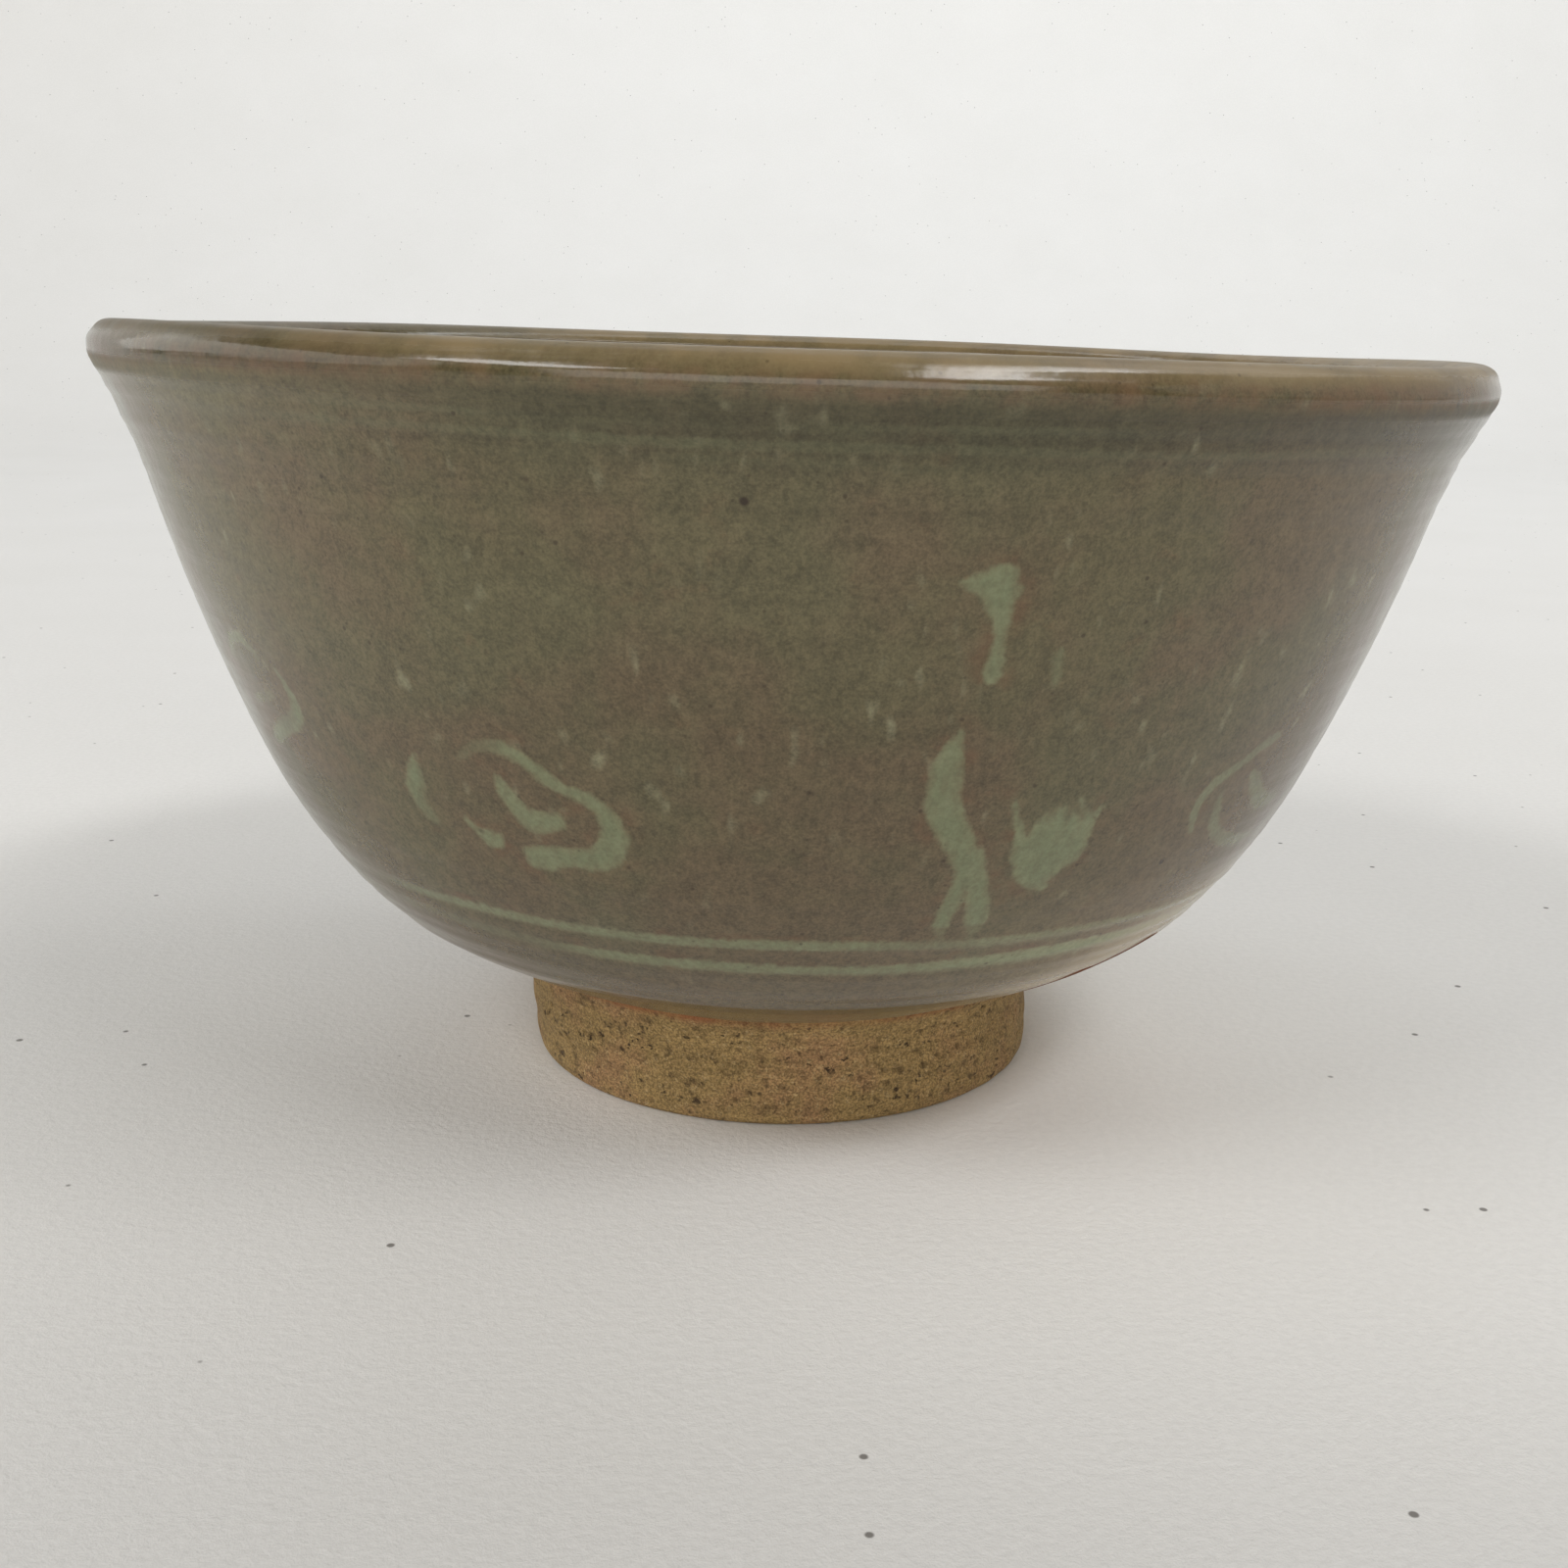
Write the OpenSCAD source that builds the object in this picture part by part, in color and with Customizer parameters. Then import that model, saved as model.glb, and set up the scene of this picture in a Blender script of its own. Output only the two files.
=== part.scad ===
// Matcha bowl: a thrown stoneware tea bowl on a luted foot ring, with a slip
// decoration of clouds and cranes set flush in the clay under a glaze.
// The origin is on the table, at the centre of the foot. +Z is up, and the
// decorated front faces -Y.

/* [Bowl] */
// Widest diameter, round the lip
rim_d = 130; // [126:1:134]
// Height of the lip's crest above the table
bowl_h = 71.8; // [71:0.2:74]
// Thickness of the wall, with both coats of glaze
wall_t = 4.8; // [4.4:0.1:5.2]
// Thickness of each coat of glaze
glaze_t = 0.5; // [0.4:0.05:0.6]

/* [Foot ring] */
// Diameter of the foot ring
foot_d = 51.6; // [50:0.2:52]
// Thickness of the foot ring's wall
foot_wall = 6; // [5:0.2:7]
// Thickness of the slip that the foot ring is luted on with
joint_t = 0.4; // [0.3:0.05:0.4]
// Diameter of the outer glaze's lower edge
glaze_edge_d = 55; // [54.6:0.2:58]

/* [Decoration] */
// Depth of the slip set in the clay
slip_depth = 0.6; // [0.4:0.1:0.8]
// Height of each line under the lip
rim_line_h = 0.8; // [0.5:0.1:1]
// Height of each line round the belly
base_line_h = 1.2; // [0.6:0.1:1.4]

/* [Hidden] */

CLAY = [0.72, 0.58, 0.40];
SLIP = [0.60, 0.70, 0.56];
GLAZE = [0.46, 0.43, 0.34];

// ---- Runs of tangent arcs ----

// Largest gap between an arc and its chords
chord_gap = 0.03;

// A run starts at point p on a heading. Each arc is [radius, heading it ends on],
// and grow widens the arcs that turn left and narrows those that turn right.
function on_arc(p, from, r, to) =
    p + sign(to - from) * r * [sin(to) - sin(from), cos(from) - cos(to)];
function chords(r, turn) = ceil(abs(turn) / (2 * acos(1 - chord_gap / r)));
function run(p, from, arcs, grow = 0, i = 0) =
    i == len(arcs) ? [p] :
    let (
        to = arcs[i][1],
        r = arcs[i][0] + sign(to - from) * grow,
        n = chords(r, to - from)
    )
    concat(
        [for (k = [0 : n - 1]) on_arc(p, from, r, from + (to - from) * k / n)],
        run(on_arc(p, from, r, to), to, arcs, grow, i + 1)
    );
function last(list) = list[len(list) - 1];
function reversed(list) = [for (i = [len(list) - 1 : -1 : 0]) list[i]];

// ---- Section of the bowl ----

// Slopes of the wall where one arc meets the next, from the lip down
lip_slope = 61;
wall_slope = 73.7;
side_slope = 66;
belly_slope = 48;
under_slope = 30;
floor_slope = 22;
// Radii outside: the flare under the lip, the upper wall, the side and the belly
flare_r = 51;
upper_r = 187;
side_r = 52.5;
belly_r = 22;
// Radius where the wall turns into the floor, inside
inner_belly_r = 18.5;

// The lip's outer half, from its crest to the flare
crest_r = 1.8;
shoulder_r = 2.6;
lip_arcs = [[crest_r, -45], [shoulder_r, lip_slope - 180]];
lip_reach = crest_r * sin(45) + shoulder_r * (1 - sin(45));
crest = [rim_d / 2 - lip_reach, bowl_h];

// Outside, from the crest down to the underside
outer_arcs = concat(lip_arcs, [
    [flare_r, wall_slope - 180],
    [upper_r, side_slope - 180],
    [side_r, belly_slope - 180],
    [belly_r, under_slope - 180]
]);
under_r = last(run(crest, 0, outer_arcs))[0] / sin(under_slope);
glaze_edge_slope = asin(glaze_edge_d / 2 / under_r);

// Inside, from the crest down to the floor. The lip's inner half takes up what its
// outer half leaves of the wall's thickness.
outer_lip_t = (last(run(crest, 0, lip_arcs)) - crest) * [sin(lip_slope), -cos(lip_slope)];
inner_lip_arcs = [[(wall_t - outer_lip_t) / (1 - cos(lip_slope)), lip_slope + 180]];
inner_wall_arcs = [
    [flare_r + wall_t, wall_slope + 180],
    [upper_r - wall_t, side_slope + 180],
    [side_r - wall_t, belly_slope + 180],
    [inner_belly_r, floor_slope + 180]
];
floor_r = last(run(crest, 180, concat(inner_lip_arcs, inner_wall_arcs)))[0] / sin(floor_slope);

// The faces of the bowl at a depth t under the glazed surface: the outside down to
// a slope, the inner half of the lip, and the inside from there to the floor
function outer_face(t, slope = 0) =
    run(crest - [0, t], 0, concat(outer_arcs, [[under_r, slope - 180]]), t);
function lip_face(t) =
    run(crest - [0, t], 180, inner_lip_arcs, -t);
function inner_face(t) =
    run(last(lip_face(t)), lip_slope + 180, concat(inner_wall_arcs, [[floor_r, 180]]), -t);

module bowl_section(t) {
    polygon(concat(outer_face(t), reversed(inner_face(t)), reversed(lip_face(t))));
}

// The layer of clay that the slip is set in
slip_t = glaze_t + slip_depth;
module slip_layer_section() {
    polygon(concat(outer_face(glaze_t, under_slope), reversed(outer_face(slip_t, under_slope))));
}

// ---- Slip lines ----

rim_line_z = [67.4, 65.9, 64.6];
base_line_z = [25.8, 23.3];

module line_section(z, h) {
    intersection() {
        slip_layer_section();
        translate([0, z - h / 2])
            square([rim_d, h]);
    }
}

module slip_line(z, h) {
    color(SLIP)
        rotate_extrude($fn = 180)
            line_section(z, h);
}

// ---- Slip motifs, drawn as brush strokes ----

// Points in each span between two stations, and in each round end
span_steps = 2;
end_steps = 4;

// A stroke is a list of stations, [across, up, half the width], along its middle
function spline(a, b, c, d, u) =
    b + (c - a) * u / 2
    + (2 * a - 5 * b + 4 * c - d) * u * u / 2
    + (3 * b - a - 3 * c + d) * u * u * u / 2;
function smoothed(s) =
    let (n = len(s) - 1)
    [
        for (i = [0 : n - 1], k = [0 : span_steps - 1])
            spline(s[max(i - 1, 0)], s[i], s[i + 1], s[min(i + 2, n)], k / span_steps),
        s[n]
    ];
function heading(s, i) =
    let (step = s[min(i + 1, len(s) - 1)] - s[max(i - 1, 0)])
    atan2(step[1], step[0]);
function beside(s, i, angle) =
    [s[i][0], s[i][1]] + s[i][2] * [cos(heading(s, i) + angle), sin(heading(s, i) + angle)];
function stroke_outline(s) =
    let (n = len(s) - 1, turn = 180 / end_steps)
    concat(
        [for (i = [0 : n]) beside(s, i, -90)],
        [for (k = [1 : end_steps - 1]) beside(s, n, -90 + k * turn)],
        [for (i = [n : -1 : 0]) beside(s, i, 90)],
        [for (k = [1 : end_steps - 1]) beside(s, 0, 90 + k * turn)]
    );

// Clouds: a hook that curls over a comma, with short strokes beside them
CLOUD_A = [
    [[-8.5, 2.8, 0.4], [-9, 1.4, 0.9], [-9.4, -0.2, 1], [-9.1, -1.6, 0.8], [-8.2, -2.7, 0.5]],
    [[-3.9, 3.5, 0.3], [-2.2, 4.7, 0.55], [0, 5, 0.65], [2, 4.2, 0.7], [3.8, 2.6, 0.65],
        [5.6, 1.8, 0.6], [7.2, 1, 0.75], [8.1, -0.7, 1.05], [7.7, -2.5, 1.25], [6.2, -3.9, 1.1],
        [4, -4, 0.9], [2.1, -4.4, 1.2], [0.8, -4.5, 1.1]],
    [[-0.8, 2.3, 0.4], [-0.5, 1.3, 0.75], [0.2, 0.2, 0.8], [0.9, -0.9, 1], [2.2, -1.2, 1],
        [3.7, -0.8, 0.8]],
    [[-5, -2, 0.3], [-4, -2.9, 0.5], [-2.9, -3.6, 0.85], [-2.1, -3.3, 0.6]]
];
CLOUD_B = [
    [[-1, 6, 0.5], [-2.6, 5.5, 0.7], [-4.2, 4.6, 0.5], [-6, 3.6, 0.55], [-7.8, 2.6, 0.7],
        [-8.3, 0.8, 0.6], [-7.9, -0.8, 0.45], [-7.2, -2, 0.25]],
    [[-5.6, 1.2, 0.4], [-4.9, -0.8, 0.65], [-3.4, -2.5, 0.7], [-1.2, -3.7, 0.7], [1.4, -4.4, 0.7],
        [4, -4.8, 0.65], [6, -4.6, 0.4]],
    [[-2.3, 2.7, 0.5], [-0.9, 1.7, 0.8], [0.6, 0.4, 0.9], [2.2, -0.6, 1], [4.4, -1.2, 0.8],
        [6.4, -1, 0.5]]
];
CLOUD_C = [
    [[3.9, 4.2, 0.3], [4.5, 3.2, 0.5], [4.9, 2, 0.75], [4.7, 0.8, 0.9], [3.9, -0.1, 0.9],
        [2.4, -0.8, 0.85], [0.6, -1.4, 0.85], [-1.2, -2.2, 0.9], [-2.8, -3, 0.75], [-4, -3.4, 0.4]],
    [[-3.6, 0.3, 0.4], [-1.8, 0.8, 0.6], [0, 1.2, 0.5], [1.1, 1.6, 0.25]],
    [[-5.9, 3.6, 0.4], [-4, 5.6, 0.6], [-1.2, 6.1, 0.6], [1, 5, 0.4]]
];

// Cranes: neck and head, the back of the head, a fleck, the body with two trailing
// legs, and a feathered wing
CRANE = [
    [[-3.4, 9.8, 0.8], [-3.4, 10.8, 0.7], [-3.4, 12, 0.5], [-3.5, 13.2, 0.5], [-3.7, 14.4, 0.8],
        [-4, 15.4, 1.3], [-4.1, 16.4, 1.6], [-3.9, 17.1, 1]],
    [[-4.4, 16.7, 1.3], [-5.6, 16.6, 0.95], [-6.9, 16.5, 0.3]],
    [[1.4, 11.5, 0.35], [1.3, 10.6, 0.6], [1.5, 9.6, 0.35], [1.6, 8.8, 0.2]],
    [[-4.8, 5.2, 0.3], [-5.1, 3.8, 0.95], [-5.2, 1.8, 1.3], [-5, -0.2, 1.4], [-4.2, -2.2, 1.4],
        [-2.9, -4, 1.25], [-1.9, -6, 1.05], [-1.7, -8, 0.75], [-2, -10.2, 0.8], [-2.1, -12, 0.8],
        [-1.8, -13, 0.4]],
    [[-1.4, -5.4, 0.95], [-0.6, -7.4, 0.9], [0.2, -9.6, 1], [0.7, -11.6, 1.15], [0.9, -12.6, 0.8]],
    [[5.6, -9.1, 0.5], [5, -7.9, 1.9], [5, -6.4, 3.2], [5.2, -5, 3.4], [5.2, -4.2, 2.6]],
    [[2.6, -5.2, 0.8], [2, -3.6, 0.5], [1.3, -2, 0.35], [0.7, -0.6, 0.15]],
    [[3.7, -4.8, 0.7], [3.6, -3.2, 0.5], [3.9, -2, 0.2]],
    [[4.9, -4.8, 0.7], [4.7, -3, 0.45], [4.3, -1.2, 0.15]],
    [[6.2, -4.8, 0.7], [6, -3, 0.45], [5.2, -1, 0.15]],
    [[7.7, -4.9, 0.7], [7.8, -3.2, 0.5], [7.2, -1.8, 0.35], [6.4, -0.8, 0.15]],
    [[8, -4.6, 0.5], [8.3, -3, 0.4], [8.9, -1.8, 0.3]]
];

// Each motif is [strokes, azimuth from the front, height of its centre]
CLOUDS = [
    [CLOUD_A, -23, 37],
    [CLOUD_C, -52.5, 40.5],
    [CLOUD_B, 49, 36],
    [CLOUD_A, 88, 38],
    [CLOUD_C, 172, 40],
    [CLOUD_B, 208, 37]
];
CRANES = [
    [CRANE, 18, 40],
    [CRANE, 128, 41],
    [CRANE, 258, 39.5]
];

// Each stroke is cut straight through the wall's outside, between these radii
stroke_start = rim_d / 4;
stroke_end = rim_d * 0.75;

module strokes(motif) {
    rotate([0, 0, motif[1] - 90])
        translate([stroke_start, 0, motif[2]])
            rotate([90, 0, 90])
                linear_extrude(height = stroke_end - stroke_start)
                    union() {
                        for (s = motif[0])
                            polygon(stroke_outline(smoothed(s)));
                    }
}

module slip_motif(motif) {
    color(SLIP)
        intersection() {
            rotate_extrude($fn = 180)
                slip_layer_section();
            strokes(motif);
        }
}

// ---- Pieces ----

module clay_body() {
    color(CLAY)
        difference() {
            rotate_extrude($fn = 180)
                difference() {
                    bowl_section(glaze_t);
                    for (z = rim_line_z)
                        line_section(z, rim_line_h);
                    for (z = base_line_z)
                        line_section(z, base_line_h);
                }
            intersection() {
                rotate_extrude($fn = 180)
                    slip_layer_section();
                union() {
                    for (motif = concat(CLOUDS, CRANES))
                        strokes(motif);
                }
            }
        }
}

// Rounding of the foot's edges, the long curve of its side and the waist above it
foot_edge_r = 0.8;
foot_side_r = 30;
foot_waist_r = 8;
// Slope of the foot's outside where it comes to the bowl
foot_top_slope = 66;
foot_side_arcs = [[foot_edge_r, 84], [foot_side_r, 95], [foot_waist_r, foot_top_slope]];
// Draft of the foot's inner wall
foot_draft = 8;
foot_inner_arcs = [[foot_edge_r, 90 + foot_draft]];
// Where the foot's round inner edge leaves the table
foot_inner_x = foot_d / 2 - foot_wall + foot_edge_r;
// How high the outline reaches into the bowl, before it is cut to the underside
foot_reach = 14;

module foot_outline() {
    outside = run([foot_d / 2 - foot_edge_r, 0], 0, foot_side_arcs);
    inside = run([foot_inner_x, 0], 180, foot_inner_arcs);
    top_outside = last(outside);
    top_inside = last(inside);
    polygon(concat(
        outside,
        [top_outside + (foot_reach - top_outside[1]) * [tan(90 - foot_top_slope), 1]],
        [top_inside + (foot_reach - top_inside[1]) * [-tan(foot_draft), 1]],
        reversed(inside)
    ));
}

// The ring, cut to the bowl's underside at a depth t
module foot_under_bowl(t) {
    difference() {
        foot_outline();
        polygon(concat(outer_face(t), [[0, bowl_h]]));
    }
}

module foot_ring() {
    color(CLAY)
        rotate_extrude($fn = 120)
            foot_under_bowl(glaze_t - joint_t);
}

module foot_joint() {
    color(SLIP)
        rotate_extrude($fn = 120)
            difference() {
                foot_under_bowl(glaze_t);
                foot_under_bowl(glaze_t - joint_t);
            }
}

module rim_line_1() {
    slip_line(rim_line_z[0], rim_line_h);
}

module rim_line_2() {
    slip_line(rim_line_z[1], rim_line_h);
}

module rim_line_3() {
    slip_line(rim_line_z[2], rim_line_h);
}

module base_line_upper() {
    slip_line(base_line_z[0], base_line_h);
}

module base_line_lower() {
    slip_line(base_line_z[1], base_line_h);
}

// The outer coat laps over the lip and ends on its inner side
module outer_glaze() {
    color(GLAZE)
        rotate_extrude($fn = 180)
            polygon(concat(
                reversed(lip_face(0)),
                outer_face(0, glaze_edge_slope),
                reversed(outer_face(glaze_t, glaze_edge_slope)),
                lip_face(glaze_t)
            ));
}

module inner_glaze() {
    color(GLAZE)
        rotate_extrude($fn = 180)
            polygon(concat(inner_face(0), reversed(inner_face(glaze_t))));
}

clay_body();
foot_ring();
foot_joint();
rim_line_1();
rim_line_2();
rim_line_3();
base_line_upper();
base_line_lower();
slip_motif(CLOUDS[0]);  // cloud_1
slip_motif(CLOUDS[1]);  // cloud_2
slip_motif(CLOUDS[2]);  // cloud_3
slip_motif(CLOUDS[3]);  // cloud_4
slip_motif(CLOUDS[4]);  // cloud_5
slip_motif(CLOUDS[5]);  // cloud_6
slip_motif(CRANES[0]);  // crane_1
slip_motif(CRANES[1]);  // crane_2
slip_motif(CRANES[2]);  // crane_3
outer_glaze();
inner_glaze();
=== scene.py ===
"""Matcha bowl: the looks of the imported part, in the part's own frame.

Metres, +Z up, decorated front towards -Y. Shapes are worked out in millimetres.
"""
import math

import bpy
import numpy as np
from mathutils import Matrix, Vector
from mathutils.bvhtree import BVHTree


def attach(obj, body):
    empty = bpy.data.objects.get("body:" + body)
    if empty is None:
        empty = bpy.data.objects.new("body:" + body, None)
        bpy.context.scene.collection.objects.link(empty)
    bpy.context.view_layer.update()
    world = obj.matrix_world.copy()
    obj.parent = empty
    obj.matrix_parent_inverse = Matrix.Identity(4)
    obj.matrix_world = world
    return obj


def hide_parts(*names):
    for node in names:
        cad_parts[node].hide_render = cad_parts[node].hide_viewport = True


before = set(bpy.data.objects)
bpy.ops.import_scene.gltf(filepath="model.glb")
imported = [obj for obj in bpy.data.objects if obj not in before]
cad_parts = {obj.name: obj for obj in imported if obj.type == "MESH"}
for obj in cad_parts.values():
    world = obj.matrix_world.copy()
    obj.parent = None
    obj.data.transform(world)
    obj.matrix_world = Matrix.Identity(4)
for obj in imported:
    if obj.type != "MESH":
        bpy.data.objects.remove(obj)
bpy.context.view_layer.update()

MM = 1000.0
rng = np.random.default_rng(7)


# ---- Small helpers ----

def smooth(v, a, b):
    """0 below a, 1 above b, with a smooth step between."""
    t = np.clip((np.asarray(v, float) - a) / (b - a), 0.0, 1.0)
    return t * t * (3 - 2 * t)


def node_points(name):
    """A CAD node's vertices in mm."""
    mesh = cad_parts[name].data
    co = np.empty(len(mesh.vertices) * 3, np.float32)
    mesh.vertices.foreach_get("co", co)
    return co.reshape(-1, 3).astype(float) * MM


def waves(count, lowest, highest, size):
    """Random waves round the bowl, as rows of [turns, phase, slant, amplitude]."""
    turns = rng.integers(lowest, highest + 1, count)
    phase = rng.uniform(0, 2 * math.pi, count)
    slant = rng.normal(0, 1, count)
    return np.stack([turns, phase, slant, np.full(count, size / math.sqrt(count))], 1)


def wavy(rows, azimuth, height=0.0, pitch=40.0):
    """The sum of such waves at an azimuth and a height."""
    out = np.zeros(np.broadcast(azimuth, height).shape)
    for turns, phase, slant, size in rows:
        out = out + size * np.sin(turns * azimuth + phase + slant * height / pitch)
    return out


# ---- Section of the bowl ----

glaze_points = node_points("outer_glaze")
RIM_R = np.hypot(glaze_points[:, 0], glaze_points[:, 1]).max()
BOWL_H = glaze_points[:, 2].max()
EDGE_R = np.hypot(glaze_points[:, 0], glaze_points[:, 1])[
    glaze_points[:, 2] < glaze_points[:, 2].min() + 0.3].min() + 0.2
GLAZE_T = 0.5
SLIP_T = 0.6
WALL_T = 4.8
JOINT_T = 0.4
FOOT_R = 25.8
FOOT_HOLLOW_R = 20.6
FOOT_CORNER = 0.8

# How far from the axis a dome's last ring of points is
POLE_GAP = 0.4

# Each run of arcs is (radius, heading it ends on)
LIP = [(1.8, -45), (2.6, -119)]
WALL = [(51, -106.3), (187, -114), (52.5, -132), (22, -150)]
LIP_SLOPE = math.radians(61)
INNER_WALL = [(51 + WALL_T, 253.7), (187 - WALL_T, 246), (52.5 - WALL_T, 228), (18.5, 202)]


def trace(start, heading, arcs, side, step=0.04):
    """Tangent arcs from a start, as rows of [x, z, normal x, normal z]."""
    (x, z), rows = start, []
    for radius, end in arcs:
        turn = math.copysign(1, end - heading)
        count = max(2, math.ceil(radius * math.radians(abs(end - heading)) / step))
        a = np.radians(np.linspace(heading, end, count + 1))
        px = x + turn * radius * (np.sin(a) - np.sin(a[0]))
        pz = z + turn * radius * (np.cos(a[0]) - np.cos(a))
        rows.append(np.stack([px, pz, -side * np.sin(a), side * np.cos(a)], 1)[1:])
        x, z, heading = px[-1], pz[-1], end
    return np.concatenate(rows)


class Section:
    """A section line that is read off by its arc length."""

    def __init__(self, rows):
        self.rows = rows
        steps = np.hypot(np.diff(rows[:, 0]), np.diff(rows[:, 1]))
        self.s = np.concatenate([[0], np.cumsum(steps)])
        self.length = self.s[-1]

    def at(self, s, depth=0.0):
        x, z, nx, nz = (np.interp(s, self.s, self.rows[:, k]) for k in range(4))
        n = np.hypot(nx, nz)
        return x - depth * nx / n, z - depth * nz / n

    def find(self, column, value):
        """Arc length where a column last comes to a value."""
        return self.s[np.abs(self.rows[:, column] - value).argmin()]


slant = math.sin(math.pi / 4)
lip_reach = LIP[0][0] * slant + LIP[1][0] * (1 - slant)
crest = (RIM_R - lip_reach, BOWL_H)
outer_rows = trace(crest, 0, LIP + WALL, 1)
under_r = outer_rows[-1, 0] / math.sin(math.radians(30))
outer_rows = trace(crest, 0, LIP + WALL + [(under_r, -180)], 1)
lip_end = trace(crest, 0, LIP, 1)[-1]
outer_lip_t = ((lip_end[0] - crest[0]) * math.sin(LIP_SLOPE)
               - (lip_end[1] - crest[1]) * math.cos(LIP_SLOPE))
inner_lip_r = (WALL_T - outer_lip_t) / (1 - math.cos(LIP_SLOPE))
lip_rows = trace(crest, 180, [(inner_lip_r, 241)], -1)
seam = tuple(lip_rows[-1, :2])
inner_rows = trace(seam, 241, INNER_WALL, -1)
floor_r = inner_rows[-1, 0] / math.sin(math.radians(22))
inner_rows = trace(seam, 241, INNER_WALL + [(floor_r, 180)], -1)

outside = Section(np.concatenate([lip_rows[::-1], outer_rows]))
inside = Section(np.concatenate([lip_rows[-1:], inner_rows]))
LIP_S = outside.find(0, RIM_R)


# ---- What makes this bowl not quite round: the same for every piece ----

# The lean is an angle; the rim's shift off the foot and the spread of the wall are in mm
LEAN = math.radians(1.05)
OFF_CENTRE = 0.85
SPREAD = 0.33
out_of_round = waves(3, 2, 3, 0.22)
wall_waves = waves(5, 3, 6, 0.12)
lip_waves = waves(4, 2, 5, 0.2)


def shaped(points):
    """Moves points, in mm, as the thrown bowl is out of true and leans on its foot."""
    x, y, z = points[..., 0], points[..., 1], points[..., 2]
    azimuth = np.arctan2(x, -y)
    radius = np.hypot(x, y)
    above = smooth(z, 2, 10)
    away = smooth(radius, 4, 24)
    push = above * away * (SPREAD + wavy(out_of_round, azimuth) * smooth(z, 20, 70)
                           + wavy(wall_waves, azimuth, z))
    lift = smooth(z, 50, BOWL_H) * wavy(lip_waves, azimuth)
    grow = 1 + push / np.maximum(radius, 1)
    x, y, z = x * grow, y * grow, z + lift
    tilt = LEAN * above
    return np.stack([x + z * tilt - OFF_CENTRE * above, y, z - x * tilt], -1)


# ---- Meshes ----

def add_mesh(name, points, faces, replaced, material):
    """A piece from points in mm, which rides on the bowl and stands for CAD nodes."""
    mesh = bpy.data.meshes.new(name)
    mesh.from_pydata((points / MM).tolist(), [], faces)
    mesh.polygons.foreach_set("use_smooth", [True] * len(mesh.polygons))
    mesh.materials.append(material)
    mesh.update()
    piece = bpy.data.objects.new(name, mesh)
    bpy.context.scene.collection.objects.link(piece)
    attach(piece, "root")
    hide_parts(*replaced)
    return piece


def loop_faces(rows, columns, closed):
    """Quads over a grid of rows round the axis. A closed grid's last row meets its first."""
    i, j = np.meshgrid(np.arange(rows if closed else rows - 1), np.arange(columns), indexing="ij")
    below, beside = (i + 1) % rows, (j + 1) % columns
    quads = np.stack([i * columns + j, below * columns + j,
                      below * columns + beside, i * columns + beside], -1)
    return quads.reshape(-1, 4).tolist()


def turned(azimuth, r, z):
    """Points at an azimuth from the front, a radius and a height."""
    azimuth, r, z = np.broadcast_arrays(azimuth, r, z)
    return np.stack([r * np.sin(azimuth), -r * np.cos(azimuth), z], -1)


def lathe(name, azimuth, r, z, ends, replaced, material):
    """A turned solid. ends is None for a ring, or the heights of its two poles."""
    grid = turned(azimuth[None, :], r, z)
    rows, columns = grid.shape[:2]
    points = shaped(grid).reshape(-1, 3)
    faces = loop_faces(rows, columns, ends is None)
    if ends is not None:
        poles = shaped(np.array([[0, 0, ends[0]], [0, 0, ends[1]]], float))
        first, last = len(points), len(points) + 1
        points = np.concatenate([points, poles])
        base = (rows - 1) * columns
        for j in range(columns):
            k = (j + 1) % columns
            faces.append((first, j, k))
            faces.append((base + j, last, base + k))
    return add_mesh(name, points, faces, replaced, material)


def set_values(piece, name, values):
    """A number for each vertex, for the material to read."""
    layer = piece.data.attributes.new(name, "FLOAT", "POINT")
    full = np.zeros(len(piece.data.vertices), np.float32)
    full[:len(values)] = values
    layer.data.foreach_set("value", full)


def columns_round(front, front_step, back_step):
    """Azimuths round the bowl, in radians, closer together in front."""
    a = np.arange(-front, front, front_step)
    b = np.arange(front, 360 - front, back_step)
    return np.radians(np.concatenate([a, b]))


def spaced(*spans):
    """Values over spans of (start, end, count), without the last end."""
    return np.concatenate([np.linspace(a, b, n, endpoint=False) for a, b, n in spans])


# ---- Materials ----

def srgb(r, g, b):
    def linear(c):
        c /= 255
        return c / 12.92 if c <= 0.04045 else ((c + 0.055) / 1.055) ** 2.4
    return (linear(r), linear(g), linear(b), 1.0)


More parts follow.
